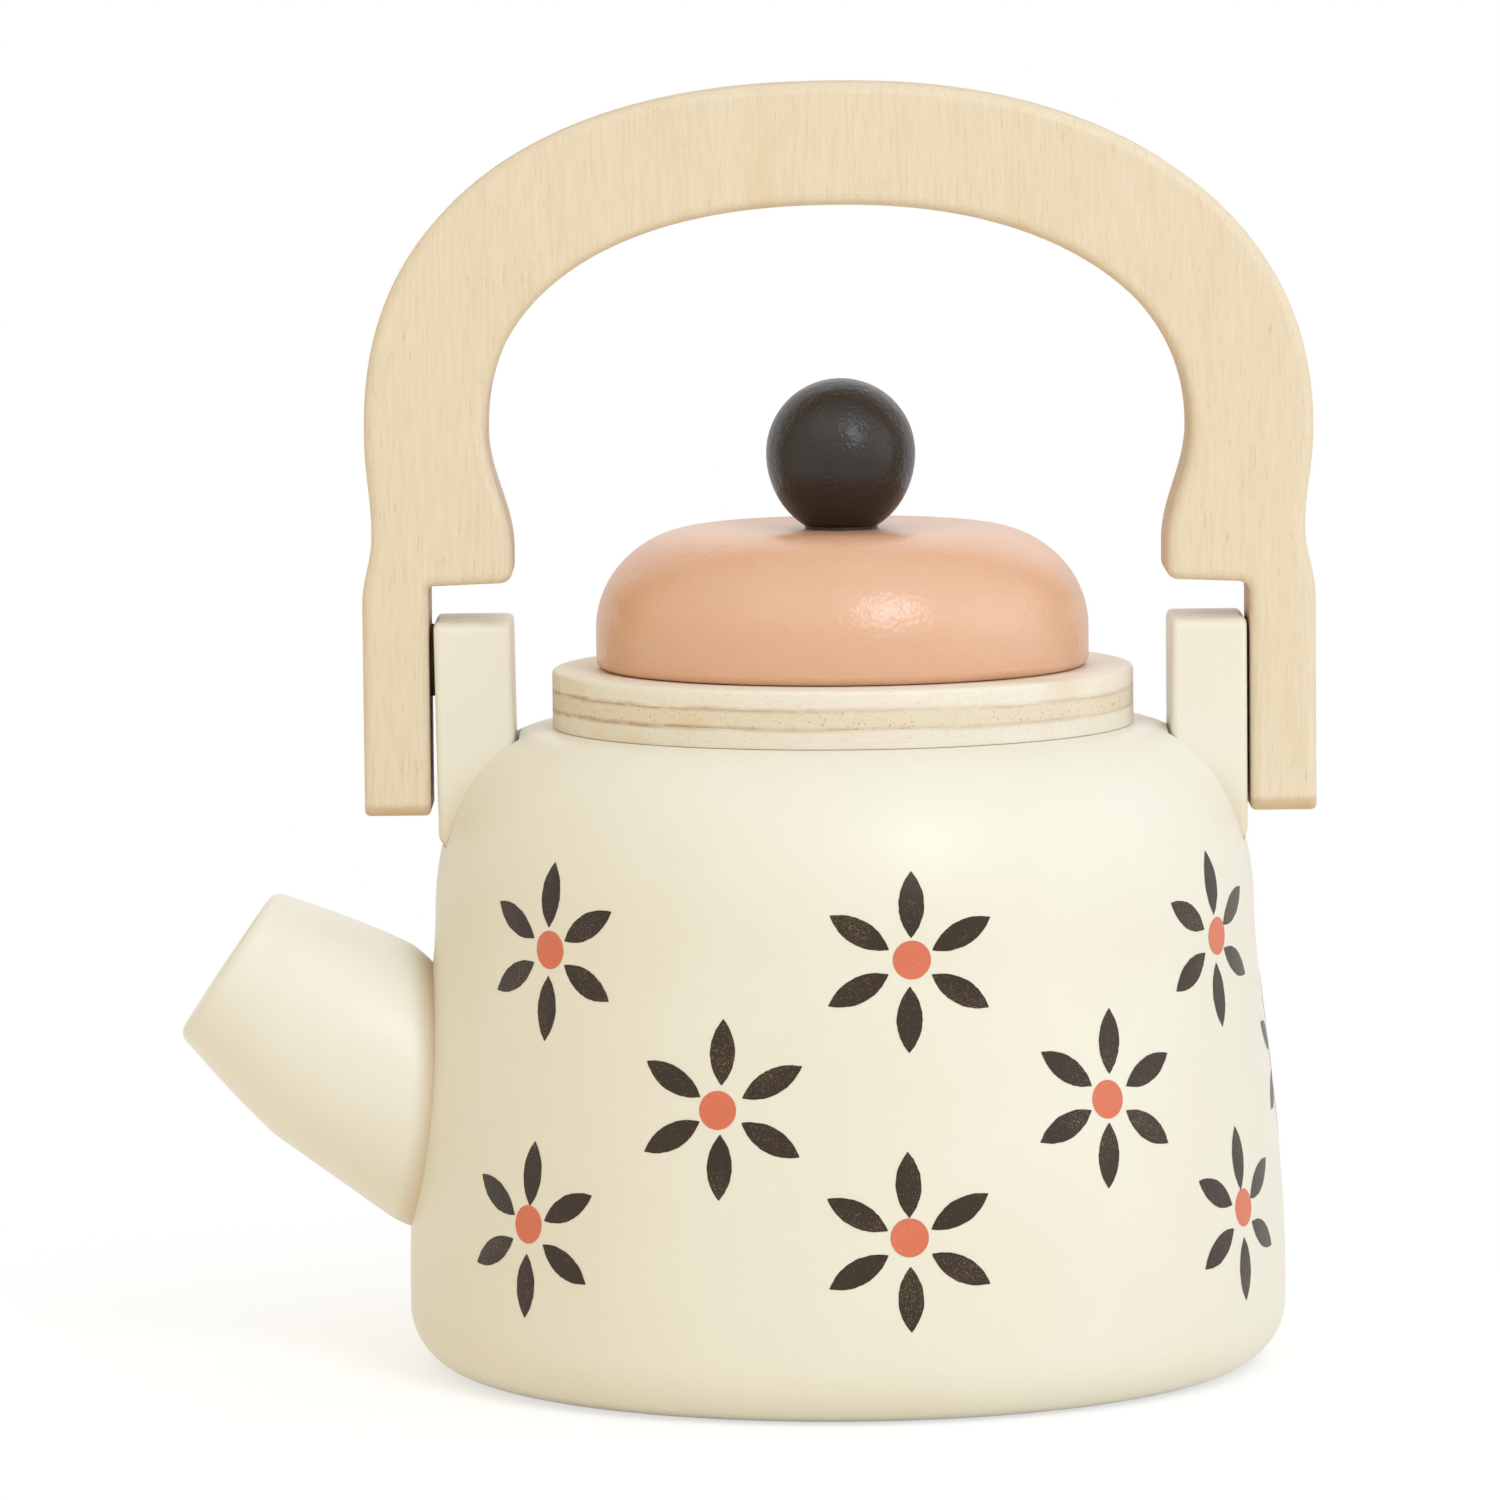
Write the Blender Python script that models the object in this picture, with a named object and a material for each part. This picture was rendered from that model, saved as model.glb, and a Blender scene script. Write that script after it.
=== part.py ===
"""Wooden toy kettle, put together from turned, sawn and doweled pieces.

A bored body carries a plywood collar, a coped spout and two posts. A plywood handle swings
on pins between the posts, and a lid with a ball knob lifts out of the collar.
Metres, +Z up. The origin is the middle of the foot, and the spout points along -X.
"""

import math

import bmesh
import bpy
from mathutils import Matrix, Vector
from mathutils.geometry import interpolate_bezier, intersect_line_line_2d

# Clearances
GLUE_GAP = 0.0003        # between pieces that are glued or rest on each other
DOWEL_GAP = 0.0002       # round a glued dowel
RUN_GAP = 0.0003         # round the pivot pins and on each side of their washers
PLUG_GAP = 0.0005        # round the lid's plug in the collar
DOWEL_EDGE = 0.0005      # rounding at both ends of a dowel
DRILL_OUT = 0.0010       # how far the drill of a through hole comes out

# Body
BODY_HEIGHT = 0.0820
BORE_RADIUS = 0.0270
FLOOR = 0.0120
COLLAR_SEAT = 0.0108     # flat top of the body, outward from the bore
SHOULDER_RISE = 0.0235
BODY_FLARE = 0.0041      # how far the foot stands out past the shoulder
FOOT_EDGE = 0.0080       # rounding under the foot
FOOT_BAND = 0.0030       # upright band above that rounding
BELLY_PULL = 0.0175      # how long the wall stays upright above the band
WAIST_PULL = 0.0090      # and below the shoulder

# Collar, lid and knob
COLLAR_THICKNESS = 0.0068
COLLAR_LEDGE = 0.00565   # collar that shows round the lid
COLLAR_EDGE = 0.0006
LID_OVERHANG = 0.0044    # lid past the bore
LID_SIDE = 0.0052        # upright side of the lid
LID_EDGE = 0.0012
LID_CROWN_RISE = 0.0130
LID_CROWN_RUN = 0.0138
PLUG_DEPTH = 0.0080
PLUG_EDGE = 0.0008
KNOB_RADIUS = 0.0095
KNOB_FOOT_WALL = 0.0018  # wood round the dowel in the knob's foot
KNOB_FOOT_HEIGHT = 0.0006
LID_DOWEL_RADIUS = 0.0030
LID_DOWEL_IN_KNOB = 0.0070
LID_DOWEL_IN_PLUG = 0.0050

# Spout
SPOUT_PITCH = 34.5       # degrees above level
SPOUT_REACH = 0.0272     # middle of the mouth, out from the shoulder
SPOUT_DROP = 0.0299      # middle of the mouth, down from the top of the body
SPOUT_MOUTH_RADIUS = 0.0114
SPOUT_SWELL = 0.00425    # how much the root's radius is larger
SPOUT_SWELL_LENGTH = 0.0260
SPOUT_MOUTH_PULL = 0.0094     # how far in the mouth's own taper carries
SPOUT_MOUTH_FLARE = 0.0021    # and how much it widens by there
SPOUT_ROOT_PULL = 0.0078      # how early the barrel reaches its full radius
SPOUT_LIP_EDGE = 0.0010
SPOUT_LIP_WALL = 0.0039
SPOUT_BORE_EDGE = 0.0005
SPOUT_MOUTH_DEPTH = 0.0080
SPOUT_WEB = 0.0060       # wood between the mouth's bore and the dowel
SPOUT_DOWEL_RADIUS = 0.0050
SPOUT_DOWEL_IN_BODY = 0.0130

# Posts
POST_GAP = 0.00455       # from the collar to a post
POST_THICKNESS = 0.0096
POST_DEPTH = 0.0160
POST_SEAT = 0.0147       # seat of a post, down from the top of the body
POST_RISE = 0.0140       # top of a post, up from the top of the body
POST_INSET = 0.0008      # post's outer face, in from the shoulder
POST_EDGE = 0.0008
POST_DOWEL_RADIUS = 0.0020
POST_DOWEL_GRIP = 0.0060
POST_DOWEL_SPACING = 0.0080

# Handle and its pivots
PIVOT_DROP = 0.0054      # pivot below the top of the posts
PIN_RADIUS = 0.0025
PIN_END_WALL = 0.0026    # wood left in the post behind a pin
WASHER_THICKNESS = 0.0007
WASHER_RIM = 0.0018
HANDLE_DEPTH = 0.0160
LEG_WIDTH = 0.0077
LEG_DROP = 0.0193        # foot of a leg below the pivot
LIMB_WIDTH = 0.0155      # arch at the spring line
CROWN_DEPTH = 0.0164     # arch at its top
HEADROOM = 0.0216        # knob to the underside of the arch
NOTCH_GAP = 0.0045       # post to the notch above it
LOBE_HEIGHT = 0.0041     # straight inside of a lobe, up from the notch
ARCH_SPRING = 0.0190     # spring line, up from the notch
ARCH_FULLNESS = 2.26     # exponent of the arch, where 2 is an ellipse
WAIST_DEPTH = 0.00115
WAIST_HEIGHT = 0.0066    # hollow of the waist, up from the notch
WAIST_RUN = 0.0090       # from that hollow down to the full width of the leg
HANDLE_EDGE = 0.0012     # rounding of the board's rims
CORNER_EASE = 0.0003     # how much rounder the board's corners are than its rims
NOTCH_FILLET = 0.0015

# Facets
BODY_SIDES = 56
TURNED_SIDES = 40
DOWEL_SIDES = 16
CURVE_STEPS = 7
ARCH_STEPS = 14
BALL_STEPS = 10
EDGE_STEPS = 3
BEVEL_STEPS = 2
SHARP_ANGLE = 30         # degrees between faces that are shaded apart
WELD = 1e-6              # points nearer than this are one

# Places that follow from the sizes
LID_RADIUS = BORE_RADIUS + LID_OVERHANG
COLLAR_RADIUS = LID_RADIUS + COLLAR_LEDGE
POST_INNER = COLLAR_RADIUS + POST_GAP
POST_OUTER = POST_INNER + POST_THICKNESS
SHOULDER_RADIUS = POST_OUTER + POST_INSET
FOOT_RADIUS = SHOULDER_RADIUS + BODY_FLARE
LEG_INNER = POST_OUTER + WASHER_THICKNESS + 2 * RUN_GAP
LEG_OUTER = LEG_INNER + LEG_WIDTH

COLLAR_BOTTOM = BODY_HEIGHT + GLUE_GAP
COLLAR_TOP = COLLAR_BOTTOM + COLLAR_THICKNESS
LID_BOTTOM = COLLAR_TOP + GLUE_GAP
LID_TOP = LID_BOTTOM + LID_SIDE + LID_CROWN_RISE
KNOB_FOOT_RADIUS = LID_DOWEL_RADIUS + KNOB_FOOT_WALL
KNOB_BOTTOM = LID_TOP + GLUE_GAP
KNOB_CENTRE = KNOB_BOTTOM + KNOB_FOOT_HEIGHT + math.sqrt(KNOB_RADIUS**2 - KNOB_FOOT_RADIUS**2)
POST_BOTTOM = BODY_HEIGHT - POST_SEAT
POST_TOP = BODY_HEIGHT + POST_RISE
PIVOT_HEIGHT = POST_TOP - PIVOT_DROP
NOTCH_HEIGHT = POST_TOP + NOTCH_GAP
SPRING_HEIGHT = NOTCH_HEIGHT + ARCH_SPRING
ARCH_UNDERSIDE = KNOB_CENTRE + KNOB_RADIUS + HEADROOM
ARCH_TOP = ARCH_UNDERSIDE + CROWN_DEPTH

SPOUT_MOUTH = Vector((-SHOULDER_RADIUS - SPOUT_REACH, 0.0, BODY_HEIGHT - SPOUT_DROP))
SPOUT_ROOT_RADIUS = SPOUT_MOUTH_RADIUS + SPOUT_SWELL
SPOUT_INWARD = Vector((math.cos(math.radians(SPOUT_PITCH)), 0.0, -math.sin(math.radians(SPOUT_PITCH))))


def clear_scene():
    for old in list(bpy.data.objects):
        bpy.data.objects.remove(old, do_unlink=True)


def finish(name, colour, roughness):
    """Material of one colour, given as linear red, green and blue."""
    material = bpy.data.materials.new(name)
    material.use_nodes = True
    shader = material.node_tree.nodes["Principled BSDF"]
    shader.inputs["Base Color"].default_value = (*colour, 1.0)
    shader.inputs["Roughness"].default_value = roughness
    shader.inputs["Metallic"].default_value = 0.0
    return material


def arc(centre, run, rise, start, end, steps):
    """Points of an ellipse from one angle to another, in degrees from the first axis."""
    turns = [math.radians(start + (end - start) * step / steps) for step in range(steps + 1)]
    return [(centre[0] + run * math.cos(turn), centre[1] + rise * math.sin(turn)) for turn in turns]


def sweep(start, start_pull, end_pull, end, steps):
    """Points of a Bezier curve in a plane."""
    knots = [Vector((*point, 0.0)) for point in (start, start_pull, end_pull, end)]
    return [(point.x, point.y) for point in interpolate_bezier(*knots, steps + 1)]


def ease(start, end, steps):
    """Points of an S-curve that is upright at both ends."""
    shares = [step / steps for step in range(steps + 1)]
    across = [0.5 - 0.5 * math.cos(math.pi * share) for share in shares]
    return [
        (start[0] + (end[0] - start[0]) * part, start[1] + (end[1] - start[1]) * share)
        for part, share in zip(across, shares)
    ]


def lathe(profile, sides, ring=False):
    """Mesh turned round Z from a profile of radius and height, closed on itself for a ring."""
    mesh = bmesh.new()
    points = [mesh.verts.new((radius, 0.0, height)) for radius, height in profile]
    followers = points[1:] + points[:1] if ring else points[1:]
    edges = [mesh.edges.new(pair) for pair in zip(points, followers)]
    bmesh.ops.spin(
        mesh, geom=points + edges, cent=(0, 0, 0), axis=(0, 0, 1),
        angle=math.tau, steps=sides, use_merge=True,
    )
    bmesh.ops.remove_doubles(mesh, verts=mesh.verts, dist=WELD)
    bmesh.ops.recalc_face_normals(mesh, faces=mesh.faces)
    return mesh


def round_over(mesh, edges, radius):
    bmesh.ops.bevel(mesh, geom=edges, offset=radius, segments=BEVEL_STEPS, profile=0.5, affect="EDGES")


def block(low, high, edge=0.0):
    """Box between two corners, with its edges rounded."""
    mesh = bmesh.new()
    bmesh.ops.create_cube(mesh, size=1.0)
    size = [top - bottom for bottom, top in zip(low, high)]
    middle = [(bottom + top) / 2 for bottom, top in zip(low, high)]
    bmesh.ops.transform(mesh, verts=mesh.verts, matrix=Matrix.LocRotScale(middle, None, size))
    if edge:
        round_over(mesh, mesh.edges, edge)
    return mesh


def board(outline, depth, edge):
    """Board cut to an outline in XZ, centred on Y, with both rims rounded over."""
    mesh = bmesh.new()
    front = mesh.faces.new([mesh.verts.new((x, -depth / 2, z)) for x, z in outline])
    swept = bmesh.ops.extrude_face_region(mesh, geom=[front], use_keep_orig=True)
    moved = [item for item in swept["geom"] if isinstance(item, bmesh.types.BMVert)]
    bmesh.ops.translate(mesh, verts=moved, vec=(0, depth, 0))
    bmesh.ops.recalc_face_normals(mesh, faces=mesh.faces)
    rims = [rim for rim in mesh.edges if rim.verts[0].co.y == rim.verts[1].co.y]
    round_over(mesh, rims, edge)
    return mesh


def add(name, mesh, material=None, place=None, parent=None):
    """Object of a mesh, at its place in its parent's space. Without a material it is a cutter."""
    data = bpy.data.meshes.new(name)
    mesh.to_mesh(data)
    mesh.free()
    data.shade_smooth()
    data.set_sharp_from_angle(angle=math.radians(SHARP_ANGLE))
    piece = bpy.data.objects.new(name, data)
    piece.parent = parent
    piece.matrix_local = place or Matrix()
    bpy.context.collection.objects.link(piece)
    if material:
        data.materials.append(material)
    else:
        piece.hide_render = True
        piece.display_type = "WIRE"
    return piece


def axis_point(name, height):
    """Empty on the body's axis, for pieces that move together."""
    empty = bpy.data.objects.new(name, None)
    empty.location.z = height
    bpy.context.collection.objects.link(empty)
    return empty


def cut(piece, cutter):
    modifier = piece.modifiers.new(f"Cut by {cutter.name}", "BOOLEAN")
    modifier.operation = "DIFFERENCE"
    modifier.object = cutter


def along(start, direction):
    """Place whose Z axis starts at a point and runs in a direction."""
    turn = Vector((0, 0, 1)).rotation_difference(direction)
    return Matrix.LocRotScale(start, turn, None)


def rod(radius, start, end, edge=0.0):
    """Round rod on Z between two heights, with its ends rounded."""
    if not edge:
        return lathe([(0, start), (radius, start), (radius, end), (0, end)], DOWEL_SIDES)
    inner = radius - edge
    profile = [(0, start), (inner, start), (radius, start + edge)]
    profile += [(radius, end - edge), (inner, end), (0, end)]
    return lathe(profile, DOWEL_SIDES)


def dowel(name, radius, gap, start, end, into, material, parent=None, overrun=None):
    """Dowel between two points, in holes drilled for it in the pieces that it joins.

    The drill goes past the end by the gap round the dowel, or by an overrun for a through hole.
    """
    length = (end - start).length
    depth = length + (gap if overrun is None else overrun)
    origin = Vector((0, 0, parent.location.z)) if parent else Vector()
    place = along(start - origin, end - start)
    drill = add(f"{name}_drill", rod(radius + gap, -gap, depth), place=place, parent=parent)
    for piece in into:
        cut(piece, drill)
    add(name, rod(radius, 0, length, DOWEL_EDGE), material, place, parent)


def body_wall():
    """Outside of the body from the foot up to the collar's seat, as radius and height."""
    rounding = arc((FOOT_RADIUS - FOOT_EDGE, FOOT_EDGE), FOOT_EDGE, FOOT_EDGE, -90, 0, CURVE_STEPS)
    band = FOOT_EDGE + FOOT_BAND
    shoulder = BODY_HEIGHT - SHOULDER_RISE
    wall = sweep(
        (FOOT_RADIUS, band), (FOOT_RADIUS, band + BELLY_PULL),
        (SHOULDER_RADIUS, shoulder - WAIST_PULL), (SHOULDER_RADIUS, shoulder), CURVE_STEPS,
    )
    run = SHOULDER_RADIUS - BORE_RADIUS - COLLAR_SEAT
    crown = arc((SHOULDER_RADIUS - run, shoulder), run, SHOULDER_RISE, 0, 90, CURVE_STEPS)
    return rounding + wall + crown[1:]


def make_body(paint):
    profile = [(0, 0), *body_wall(), (BORE_RADIUS, BODY_HEIGHT), (BORE_RADIUS, FLOOR), (0, FLOOR)]
    return add("kettle_body", lathe(profile, BODY_SIDES), paint)


def make_collar(plywood):
    inner, outer, edge = BORE_RADIUS, COLLAR_RADIUS, COLLAR_EDGE
    profile = [(inner, COLLAR_BOTTOM), (outer - edge, COLLAR_BOTTOM), (outer, COLLAR_BOTTOM + edge)]
    profile += [(outer, COLLAR_TOP - edge), (outer - edge, COLLAR_TOP)]
    profile += [(inner + edge, COLLAR_TOP), (inner, COLLAR_TOP - edge)]
    add("collar_ring", lathe(profile, BODY_SIDES, ring=True), plywood)


def spout_meets_wall():
    """Distance from the mouth, along the spout's axis, to the body's wall."""
    start = SPOUT_MOUTH.xz
    end = start + SPOUT_INWARD.xz * (SPOUT_REACH + SHOULDER_RADIUS)
    wall = [Vector((-radius, height)) for radius, height in body_wall()]
    hits = [intersect_line_line_2d(start, end, a, b) for a, b in zip(wall, wall[1:])]
    return min((hit - start).length for hit in hits if hit)


def make_spout(body, paint, beech):
    """Barrel from the mouth inward, coped to the body, with a shallow bore in its mouth."""
    lip, bore = SPOUT_LIP_EDGE, SPOUT_MOUTH_RADIUS - SPOUT_LIP_WALL
    to_wall = spout_meets_wall()
    root = to_wall + SPOUT_ROOT_RADIUS
    swell = sweep(
        (SPOUT_MOUTH_RADIUS, lip), (SPOUT_MOUTH_RADIUS + SPOUT_MOUTH_FLARE, SPOUT_MOUTH_PULL),
        (SPOUT_ROOT_RADIUS, SPOUT_SWELL_LENGTH - SPOUT_ROOT_PULL),
        (SPOUT_ROOT_RADIUS, SPOUT_SWELL_LENGTH), CURVE_STEPS,
    )
    profile = [(0, SPOUT_MOUTH_DEPTH), (bore, SPOUT_MOUTH_DEPTH), (bore, SPOUT_BORE_EDGE)]
    profile += [(bore + SPOUT_BORE_EDGE, 0), (SPOUT_MOUTH_RADIUS - lip, 0)]
    profile += [*swell, (SPOUT_ROOT_RADIUS, root), (0, root)]
    spout = add("spout", lathe(profile, TURNED_SIDES), paint, along(SPOUT_MOUTH, SPOUT_INWARD))
    cope = [(0, 0), *((radius + GLUE_GAP, height) for radius, height in body_wall()), (0, BODY_HEIGHT)]
    cut(spout, add("spout_cope", lathe(cope, BODY_SIDES)))
    start = SPOUT_MOUTH + SPOUT_INWARD * (SPOUT_MOUTH_DEPTH + SPOUT_WEB)
    end = SPOUT_MOUTH + SPOUT_INWARD * (to_wall + SPOUT_DOWEL_IN_BODY)
    dowel("spout_dowel", SPOUT_DOWEL_RADIUS, DOWEL_GAP, start, end, [spout, body], beech)


def make_post(name, side, body, paint, beech):
    """Block let into a notch in the shoulder and held down by two dowels. Side is -1 or 1."""
    across = sorted((side * POST_INNER, side * POST_OUTER))
    half = POST_DEPTH / 2
    mesh = block((across[0], -half, POST_BOTTOM), (across[1], half, POST_TOP), POST_EDGE)
    post = add(name, mesh, paint)
    notch = sorted((side * (POST_INNER - GLUE_GAP), side * FOOT_RADIUS))
    room = half + GLUE_GAP
    mesh = block((notch[0], -room, POST_BOTTOM - GLUE_GAP), (notch[1], room, POST_TOP))
    cut(body, add(f"{name}_notch", mesh))
    grip = Vector((0, 0, POST_DOWEL_GRIP))
    for end, depth in (("front", -POST_DOWEL_SPACING / 2), ("rear", POST_DOWEL_SPACING / 2)):
        foot = Vector((side * (POST_INNER + POST_OUTER) / 2, depth, POST_BOTTOM))
        dowel(
            f"{name}_dowel_{end}", POST_DOWEL_RADIUS, DOWEL_GAP,
            foot - grip, foot + grip, [post, body], beech,
        )
    return post


def arch_curve(half_width, height, steps):
    """Quarter of the arch from its top down to the spring line, as a superellipse."""
    power = 2 / ARCH_FULLNESS
    turns = [math.pi / 2 * (1 - step / steps) for step in range(steps + 1)]
    return [
        (half_width * abs(math.cos(turn)) ** power, SPRING_HEIGHT + height * math.sin(turn) ** power)
        for turn in turns
    ]


def handle_half():
    """Right half of the handle: from the top down the outside, and back up the inside."""
    corner, fillet = HANDLE_EDGE + CORNER_EASE, NOTCH_FILLET
    foot = PIVOT_HEIGHT - LEG_DROP
    waist = (LEG_OUTER - WAIST_DEPTH, NOTCH_HEIGHT + WAIST_HEIGHT)
    throat = LEG_OUTER - LIMB_WIDTH
    outline = arch_curve(LEG_OUTER, ARCH_TOP - SPRING_HEIGHT, ARCH_STEPS)
    outline += ease((LEG_OUTER, SPRING_HEIGHT), waist, CURVE_STEPS)[1:]
    outline += ease(waist, (LEG_OUTER, waist[1] - WAIST_RUN), CURVE_STEPS)[1:]
    outline += arc((LEG_OUTER - corner, foot + corner), corner, corner, 0, -90, EDGE_STEPS)
    outline += arc((LEG_INNER + corner, foot + corner), corner, corner, -90, -180, EDGE_STEPS)
    outline += arc((LEG_INNER - fillet, NOTCH_HEIGHT - fillet), fillet, fillet, 0, 90, EDGE_STEPS)
    outline += arc((POST_INNER + corner, NOTCH_HEIGHT + corner), corner, corner, -90, -180, EDGE_STEPS)
    outline += ease((POST_INNER, NOTCH_HEIGHT + LOBE_HEIGHT), (throat, SPRING_HEIGHT), CURVE_STEPS)
    outline += arch_curve(throat, ARCH_UNDERSIDE - SPRING_HEIGHT, ARCH_STEPS)[-2::-1]
    return outline


def make_handle(plywood):
    pivot = axis_point("handle_pivot", PIVOT_HEIGHT)
    right = handle_half()
    left = [(-x, z) for x, z in reversed(right[1:-1])]
    outline = [(x, z - PIVOT_HEIGHT) for x, z in right + left]
    return add("handle", board(outline, HANDLE_DEPTH, HANDLE_EDGE), plywood, parent=pivot)


def make_pivot(side_name, side, post, handle, beech, fibre):
    """Pin glued in the post, free in the handle's leg, with a washer between the two."""
    start = Vector((side * (POST_INNER + PIN_END_WALL), 0, PIVOT_HEIGHT))
    end = Vector((side * (LEG_OUTER - RUN_GAP), 0, PIVOT_HEIGHT))
    dowel(
        f"{side_name}_pivot_pin", PIN_RADIUS, RUN_GAP,
        start, end, [post, handle], beech, overrun=RUN_GAP + DRILL_OUT,
    )
    inner = PIN_RADIUS + RUN_GAP
    outer = inner + WASHER_RIM
    mesh = lathe(
        [(inner, 0), (outer, 0), (outer, WASHER_THICKNESS), (inner, WASHER_THICKNESS)],
        DOWEL_SIDES, ring=True,
    )
    seat = Vector((side * (POST_OUTER + RUN_GAP), 0, PIVOT_HEIGHT))
    add(f"{side_name}_pivot_washer", mesh, fibre, along(seat, end - start))


def make_lid(peach, charcoal, plywood, beech):
    """Domed lid with its plug and knob, all on one dowel. Heights are from the lid's underside."""
    seat = axis_point("lid_seat", LID_BOTTOM)
    top = LID_TOP - LID_BOTTOM
    underside = arc((LID_RADIUS - LID_EDGE, LID_EDGE), LID_EDGE, LID_EDGE, -90, 0, EDGE_STEPS)
    shoulder = (LID_RADIUS - LID_CROWN_RUN, LID_SIDE)
    crown = arc(shoulder, LID_CROWN_RUN, LID_CROWN_RISE, 0, 90, CURVE_STEPS)
    lid = add("lid", lathe([(0, 0), *underside, *crown, (0, top)], TURNED_SIDES), peach, parent=seat)

    rim, face = BORE_RADIUS - PLUG_GAP, -GLUE_GAP
    profile = [(0, face - PLUG_DEPTH), (rim - PLUG_EDGE, face - PLUG_DEPTH)]
    profile += [(rim, face - PLUG_DEPTH + PLUG_EDGE), (rim, face), (0, face)]
    plug = add("lid_plug", lathe(profile, TURNED_SIDES), plywood, parent=seat)

    centre = KNOB_CENTRE - LID_BOTTOM
    neck = -math.degrees(math.acos(KNOB_FOOT_RADIUS / KNOB_RADIUS))
    ball = arc((0, centre), KNOB_RADIUS, KNOB_RADIUS, neck, 90, BALL_STEPS)
    foot = KNOB_BOTTOM - LID_BOTTOM
    profile = [(0, foot), (KNOB_FOOT_RADIUS, foot), *ball]
    knob = add("lid_knob", lathe(profile, TURNED_SIDES), charcoal, parent=seat)

    start = Vector((0, 0, LID_BOTTOM - GLUE_GAP - LID_DOWEL_IN_PLUG))
    end = Vector((0, 0, KNOB_BOTTOM + LID_DOWEL_IN_KNOB))
    dowel("lid_dowel", LID_DOWEL_RADIUS, DOWEL_GAP, start, end, [lid, plug, knob], beech, seat)


def make_kettle():
    cream = finish("cream paint", (0.86, 0.80, 0.67), 0.45)
    peach = finish("peach paint", (0.79, 0.47, 0.30), 0.42)
    charcoal = finish("charcoal paint", (0.045, 0.035, 0.028), 0.40)
    plywood = finish("birch plywood", (0.82, 0.68, 0.47), 0.50)
    beech = finish("beech dowel", (0.68, 0.50, 0.32), 0.60)
    fibre = finish("fibre washer", (0.14, 0.10, 0.08), 0.70)

    body = make_body(cream)
    make_collar(plywood)
    make_spout(body, cream, beech)
    handle = make_handle(plywood)
    for side_name, side in (("left", -1), ("right", 1)):
        post = make_post(f"{side_name}_post", side, body, cream, beech)
        make_pivot(side_name, side, post, handle, beech, fibre)
    make_lid(peach, charcoal, plywood, beech)


clear_scene()
make_kettle()
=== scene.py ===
"""Looks of the wooden toy kettle, piece by piece as it is put together. Metres, in the CAD frame."""

import math
import random

import bmesh
import bpy
from mathutils import Matrix, Vector
from mathutils.geometry import interpolate_bezier


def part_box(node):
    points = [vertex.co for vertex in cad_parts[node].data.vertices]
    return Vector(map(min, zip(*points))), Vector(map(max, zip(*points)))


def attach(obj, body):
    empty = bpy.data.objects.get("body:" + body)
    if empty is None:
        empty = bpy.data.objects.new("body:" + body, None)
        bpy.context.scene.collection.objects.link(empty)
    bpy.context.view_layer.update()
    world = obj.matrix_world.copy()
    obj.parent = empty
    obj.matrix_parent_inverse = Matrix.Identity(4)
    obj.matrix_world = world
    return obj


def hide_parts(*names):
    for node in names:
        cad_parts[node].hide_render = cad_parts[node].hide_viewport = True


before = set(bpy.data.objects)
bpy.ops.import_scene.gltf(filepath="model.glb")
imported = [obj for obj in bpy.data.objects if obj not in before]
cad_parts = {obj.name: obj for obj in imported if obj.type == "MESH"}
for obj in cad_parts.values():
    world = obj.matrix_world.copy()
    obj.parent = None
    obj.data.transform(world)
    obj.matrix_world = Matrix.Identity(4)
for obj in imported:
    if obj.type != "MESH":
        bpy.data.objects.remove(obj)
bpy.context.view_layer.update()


# Kettle body: a hardwood block turned on a lathe, bored out from the top and sprayed with satin
# cream paint. The bore is left bare. A notch is sawn in each side of its shoulder for a post.
BODY_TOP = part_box("kettle_body")[1].z
FOOT_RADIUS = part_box("kettle_body")[1].x
FOOT_ROUNDING = 0.0080
BELLY_START, BELLY_PULL = 0.0110, 0.0200
SHOULDER_RADIUS, SHOULDER_START, WAIST_PULL = 0.0523, 0.0585, 0.0090
SEAT_RADIUS = 0.0378
BORE_RADIUS, BORE_FLOOR, BORE_EDGE = 0.0270, 0.0120, 0.0005
POST_LOW, POST_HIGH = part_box("right_post")
NOTCH_GAP, NOTCH_SIDE_GAP = 0.0004, 0.00005
BODY_SIDES = 160
FOOT_STEPS, WALL_STEPS, SHOULDER_STEPS = 12, 28, 20
MERGE = 1e-7
SHARP = 35


def open_piece(name, add_primitive, **sizes):
    """Adds a primitive as the only selection, and opens it in edit mode with all of it selected."""
    bpy.ops.object.select_all(action="DESELECT")
    add_primitive(**sizes)
    piece = bpy.context.object
    piece.name = piece.data.name = name
    bpy.ops.object.mode_set(mode="EDIT")
    bpy.ops.mesh.select_all(action="SELECT")
    return piece


def pick(piece, kind, wanted):
    """Selects the edges or faces of an open piece that a test on each of them wants."""
    bpy.ops.mesh.select_mode(type=kind)
    bpy.ops.mesh.select_all(action="DESELECT")
    mesh = bmesh.from_edit_mesh(piece.data)
    for item in mesh.edges if kind == "EDGE" else mesh.faces:
        item.select_set(wanted(item))
    bmesh.update_edit_mesh(piece.data)


def close_piece(piece, sharp=SHARP):
    """Leaves edit mode with all faces outward, shaded smooth up to an angle in degrees."""
    bpy.ops.mesh.select_mode(type="VERT")
    bpy.ops.mesh.select_all(action="SELECT")
    bpy.ops.mesh.remove_doubles(threshold=MERGE)
    bpy.ops.mesh.normals_make_consistent(inside=False)
    bpy.ops.object.mode_set(mode="OBJECT")
    bpy.ops.object.shade_smooth_by_angle(angle=math.radians(sharp))
    return piece


def arc(centre, run, rise, start, end, steps):
    """Points of an ellipse from one angle to another, in degrees from the first axis."""
    angles = [math.radians(start + (end - start) * step / steps) for step in range(steps + 1)]
    return [(centre[0] + run * math.cos(angle), centre[1] + rise * math.sin(angle)) for angle in angles]


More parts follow.
